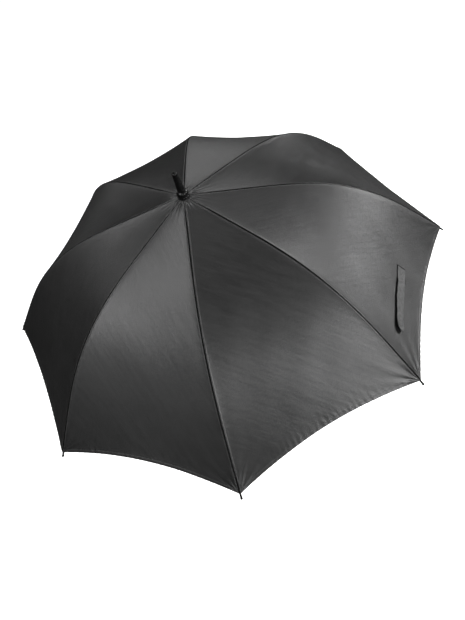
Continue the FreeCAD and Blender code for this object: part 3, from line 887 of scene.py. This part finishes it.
def ferrule(plastic):
    """Tapered spike with a blunt tip, on a rounded collar that clamps the cloth."""
    turned_part("ferrule_spike_shell", [
        (0.0, SPIKE_TOP),
        (SPIKE_TIP_RADIUS - 0.0022, SPIKE_TOP - 0.0001),
        (SPIKE_TIP_RADIUS, SPIKE_TOP - 0.0024),
        (SPIKE_BASE_RADIUS - 0.0002, SPIKE_BOTTOM + 0.0060),
        (SPIKE_BASE_RADIUS, SPIKE_BOTTOM + 0.0050),
        (SPIKE_BASE_RADIUS, SPIKE_BOTTOM + 0.0002),
        (SPIKE_BASE_RADIUS - 0.0006, SPIKE_BOTTOM),
        (SHAFT_RADIUS, SPIKE_BOTTOM),
    ][::-1], plastic, "ferrule_spike", 0.0010)
    foot = CROWN_HEIGHT + CLOTH_LIFT + 0.0012
    turned_part("ferrule_collar_shell", [
        (SHAFT_RADIUS, foot - 0.0002),
        (COLLAR_RADIUS - 0.0010, foot - 0.0016),
        (COLLAR_RADIUS, foot - 0.0006),
        (COLLAR_RADIUS - 0.0003, foot + 0.0022),
        (COLLAR_RADIUS - 0.0012, foot + 0.0030),
        (COLLAR_RADIUS - 0.0010, SPIKE_BOTTOM - 0.0078),
        (COLLAR_RADIUS - 0.0024, SPIKE_BOTTOM - 0.0036),
        (COLLAR_RADIUS - 0.0052, SPIKE_BOTTOM - 0.0010),
        (SPIKE_BASE_RADIUS - 0.0004, SPIKE_BOTTOM - 0.0001),
        (SHAFT_RADIUS, SPIKE_BOTTOM),
    ], plastic, "ferrule_collar", 0.0012)


def handle(foam, plastic):
    """Foam sleeve between a tapered neck collar and a rounded end cap."""
    top, bottom = GRIP_HALF_LENGTH, -GRIP_HALF_LENGTH
    inner = SHAFT_RADIUS
    turned_part("foam_grip_sleeve", [
        (inner, bottom), (GRIP_RADIUS - 0.0006, bottom), (GRIP_RADIUS, bottom + 0.0016),
        (GRIP_RADIUS, 0), (GRIP_RADIUS, top - 0.0016), (GRIP_RADIUS - 0.0006, top), (inner, top),
    ], foam, "foam_grip", 0.0014)
    cap_top = top + CAP_DEPTH
    turned_part("neck_collar_shell", [
        (inner, top), (GRIP_RADIUS - 0.0005, top), (GRIP_RADIUS - 0.0005, top + 0.0030),
        (GRIP_RADIUS - 0.0012, top + 0.0034), (GRIP_RADIUS - 0.0030, cap_top - 0.0030),
        (inner + 0.0018, cap_top), (inner, cap_top),
    ], plastic, "neck_collar")
    cap_bottom = bottom - CAP_DEPTH
    turned_part("end_cap_shell", [
        (0.0, cap_bottom + 0.0004), (0.0052, cap_bottom + 0.0004), (0.0060, cap_bottom),
        (GRIP_RADIUS - 0.0060, cap_bottom), (GRIP_RADIUS - 0.0022, cap_bottom + 0.0024),
        (GRIP_RADIUS - 0.0006, cap_bottom + 0.0062), (GRIP_RADIUS - 0.0005, bottom),
        (inner, bottom),
    ], plastic, "end_cap")


# ---------------------------------------------------------------- camera, floor and light

CAMERA_AIM = Vector((0, 0, 0.388))
CAMERA_DISTANCE = 1.728
CAMERA_AZIMUTH = 13.18      # of the line of sight, anticlockwise from +X, in degrees
CAMERA_ELEVATION = 50.48
CAMERA_ROLL = -23.19
CAMERA_LENS = 31.54
SENSOR_WIDTH = 36
FLOOR_RADIUS = 9
FLOOR_GAP = 0.003           # below the end cap
FLOOR_GLOW = 0.75
SKY_LEVEL = 0.30
SOFTBOX_SIZE = 0.85
SOFTBOX_DISTANCE = 2.6
SOFTBOX_AIM = Vector((0, 0, 0.75))
KEY_FALLOFF = 3             # how fast a ring of softboxes fades away from its key side


def line_of_sight(azimuth, elevation):
    """Unit vector that looks down at an elevation, towards an azimuth."""
    turn, drop = math.radians(azimuth), math.radians(elevation)
    return Vector((math.cos(turn) * math.cos(drop), math.sin(turn) * math.cos(drop), -math.sin(drop)))


def add_camera():
    """Camera of the catalogue picture, above and to one side of the open canopy."""
    made = bpy.data.objects.new("camera", bpy.data.cameras.new("camera"))
    bpy.context.scene.collection.objects.link(made)
    sight = line_of_sight(CAMERA_AZIMUTH, CAMERA_ELEVATION)
    upright = sight.to_track_quat("-Z", "Y").to_matrix()
    rolled = upright @ Matrix.Rotation(math.radians(CAMERA_ROLL), 3, "Z")
    made.matrix_world = Matrix.LocRotScale(CAMERA_AIM - CAMERA_DISTANCE * sight, rolled, None)
    made.data.lens = CAMERA_LENS
    made.data.sensor_width = SENSOR_WIDTH
    made.data.clip_start = 0.05
    bpy.context.scene.camera = made


def add_floor():
    """Round floor just under the handle."""
    angle = np.linspace(0, 2 * math.pi, 96, endpoint=False)
    height = cad_low.z - FLOOR_GAP
    points = np.stack([FLOOR_RADIUS * np.cos(angle), FLOOR_RADIUS * np.sin(angle), height + 0 * angle],
                      axis=-1)
    floor = new_mesh("studio_floor", points, [list(range(len(angle)))], studio_white())
    floor.visible_glossy = False


def add_softbox(name, azimuth, elevation, strength):
    """Square light that looks at the canopy's middle from an azimuth and an elevation."""
    light = bpy.data.lights.new(name, "AREA")
    light.shape = "SQUARE"
    light.size = SOFTBOX_SIZE
    light.energy = strength * math.pi * SOFTBOX_DISTANCE ** 2
    made = bpy.data.objects.new(name, light)
    bpy.context.scene.collection.objects.link(made)
    sight = line_of_sight(azimuth + 180, elevation)
    made.matrix_world = Matrix.LocRotScale(
        SOFTBOX_AIM - SOFTBOX_DISTANCE * sight, sight.to_track_quat("-Z", "Y"), None)


def softbox_ring(name, count, elevation, key_azimuth, key, fill):
    """Evenly spaced softboxes at one height, strongest on the key side and fading away from it."""
    for number in range(count):
        azimuth = 360 * number / count
        facing_key = (1 + math.cos(math.radians(azimuth - key_azimuth))) / 2
        add_softbox(f"{name}_{number + 1}", azimuth, elevation, fill + key * facing_key ** KEY_FALLOFF)


def add_sky():
    """Even pale surroundings."""
    world = bpy.data.worlds.new("studio")
    world.use_nodes = True
    world.node_tree.nodes["Background"].inputs["Color"].default_value = grey(1.0)
    world.node_tree.nodes["Background"].inputs["Strength"].default_value = SKY_LEVEL
    world.cycles_visibility.glossy = False
    bpy.context.scene.world = world


# ---------------------------------------------------------------- the whole umbrella

def canopy(cloth, seam_shadow):
    """Every panel, and the tape under every seam."""
    tape = seam_tape_cloth()
    for panel in range(RIBS):
        for ring in RINGS:
            for side, letter in ((1, "a"), (-1, "b")):
                panel_sheet(f"panel_{panel + 1}_{ring[0]}_{letter}", panel, side, ring, cloth, seam_shadow)
    for rib in range(RIBS):
        seam_tape(f"seam_tape_inner_{rib + 1}", rib, CLOTH_START + 0.002, FLEX_STATION + 0.004,
                  f"rib_{rib + 1}", tape)
        seam_tape(f"seam_tape_outer_{rib + 1}", rib, FLEX_STATION - 0.004, CLOTH_END - 0.004,
                  f"outer_rib_{rib + 1}", tape)


def dress_frame(plastic):
    """Better finishes for the frame's own solids."""
    finishes = {
        "fibreglass": fibreglass(),
        "black_plastic": plastic,
        "black_steel": painted_steel(),
        "bright_steel": plated_steel(),
    }
    for part in frame["record"]["subparts"]:
        if part["material_slot"] in finishes:
            mesh = frame["nodes"][part["node"]].data
            mesh.materials.clear()
            mesh.materials.append(finishes[part["material_slot"]])


def main():
    """Build every piece, then the camera, the floor and the lights."""
    plastic = moulded_plastic()
    dress_frame(plastic)
    shaded = shaded_cloth()
    canopy(canopy_cloth(), shaded)
    tie_strap(strap_webbing(), shaded, seam_tape_cloth())
    ferrule(plastic)
    handle(handle_foam(), plastic)
    add_camera()
    add_floor()
    add_sky()
    softbox_ring("softbox_low", count=8, elevation=20, key_azimuth=-100, key=2.8, fill=0.15)
    softbox_ring("softbox_high", count=6, elevation=55, key_azimuth=100, key=1.3, fill=0.1)
    bpy.context.scene.view_settings.view_transform = "Standard"


main()
